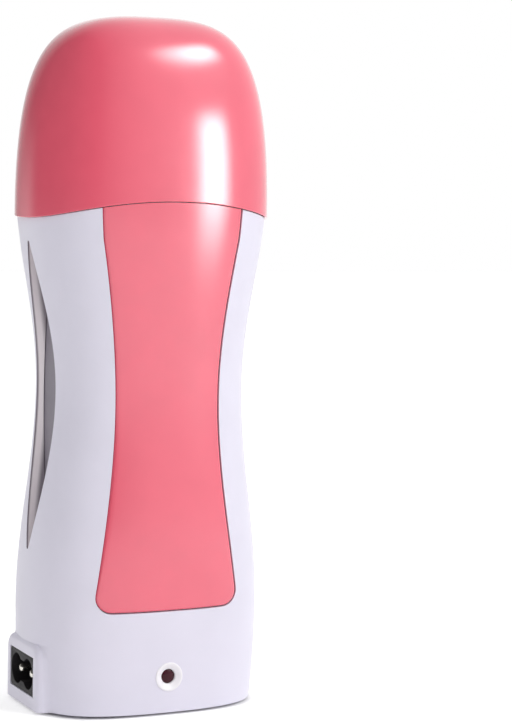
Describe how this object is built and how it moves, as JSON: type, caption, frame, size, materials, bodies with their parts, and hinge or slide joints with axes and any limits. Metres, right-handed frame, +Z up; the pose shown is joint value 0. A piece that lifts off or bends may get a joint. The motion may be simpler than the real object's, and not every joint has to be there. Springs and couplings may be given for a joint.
{
  "type": "roll on wax heater",
  "caption": "Handheld heater that warms a roll-on wax cartridge in a waisted casing with a domed lift-off cap, mains inlet and indicator lamp.",
  "frame": {"origin": "on the table, under the middle of the base", "axes": "+Z up along the heater, -Y out of the front with the indicator, -X towards the mains inlet"},
  "size_m": [0.0706, 0.0506, 0.192],
  "materials": {
    "pink_gloss": "high gloss",
    "white_casing": "satin gloss",
    "white_bezel": "gloss",
    "base_plastic": "fine spark texture",
    "frosted_liner": "frosted, heat resistant",
    "spring_steel": "rolled strip",
    "aluminium": "rolled sheet",
    "ptc_wrap": "polyimide film",
    "insulating_film": "mica film",
    "strap_steel": "bent strip",
    "zinc_screw": "zinc plated",
    "rivet": "plain",
    "black_plastic": "satin",
    "fuse_case": "glazed case",
    "nickel_pin": "nickel plated",
    "circuit_board": "solder mask",
    "capacitor_case": "moulded case",
    "resistor_body": "lacquered",
    "diode_body": "moulded",
    "led_red": "clear tinted resin",
    "lens_red": "clear tinted",
    "rubber": "matt",
    "lead_brown": "silicone sleeve",
    "lead_blue": "silicone sleeve"
  },
  "bodies": {
    "heater": {"front_inlay": "pink_gloss", "front_casing": "white_casing", "rear_casing": "white_casing", "neck_collar": "white_casing", "led_bezel": "white_bezel", "base_plate": "base_plastic", "well_liner": "frosted_liner", "heater_plate": "aluminium", "ptc_element": "ptc_wrap", "ptc_insulator": "insulating_film", "ptc_strap": "strap_steel", "ptc_strap_screws": "zinc_screw", "thermostat": "black_plastic", "thermal_fuse": "fuse_case", "sensor_strap": "strap_steel", "sensor_rivets": "rivet", "socket_housing": "black_plastic", "socket_pins": "nickel_pin", "control_board": "circuit_board", "board_screws": "zinc_screw", "dropper_capacitor": "capacitor_case", "resistors": "resistor_body", "diode": "diode_body", "indicator_led": "led_red", "led_lens": "lens_red", "base_screws": "zinc_screw", "rubber_feet": "rubber", "live_lead": "lead_brown", "link_lead": "lead_brown", "ptc_live_lead": "lead_brown", "neutral_lead": "lead_blue"},
    "cap": {"cap_shell": "pink_gloss"},
    "spring": {"pressure_spring": "spring_steel"}
  },
  "joints": [
    {"name": "cap_lift", "type": "slide", "parent": "heater", "child": "cap", "axis": [0, 0, 1], "range_m": [0, 0.075]},
    {"name": "spring_flex", "type": "hinge", "parent": "heater", "child": "spring", "pos_m": [0, -0.016, 0.127], "axis": [-1, 0, 0], "range_deg": [0, 2], "stiffness_Nm_per_rad": 3}
  ]
}
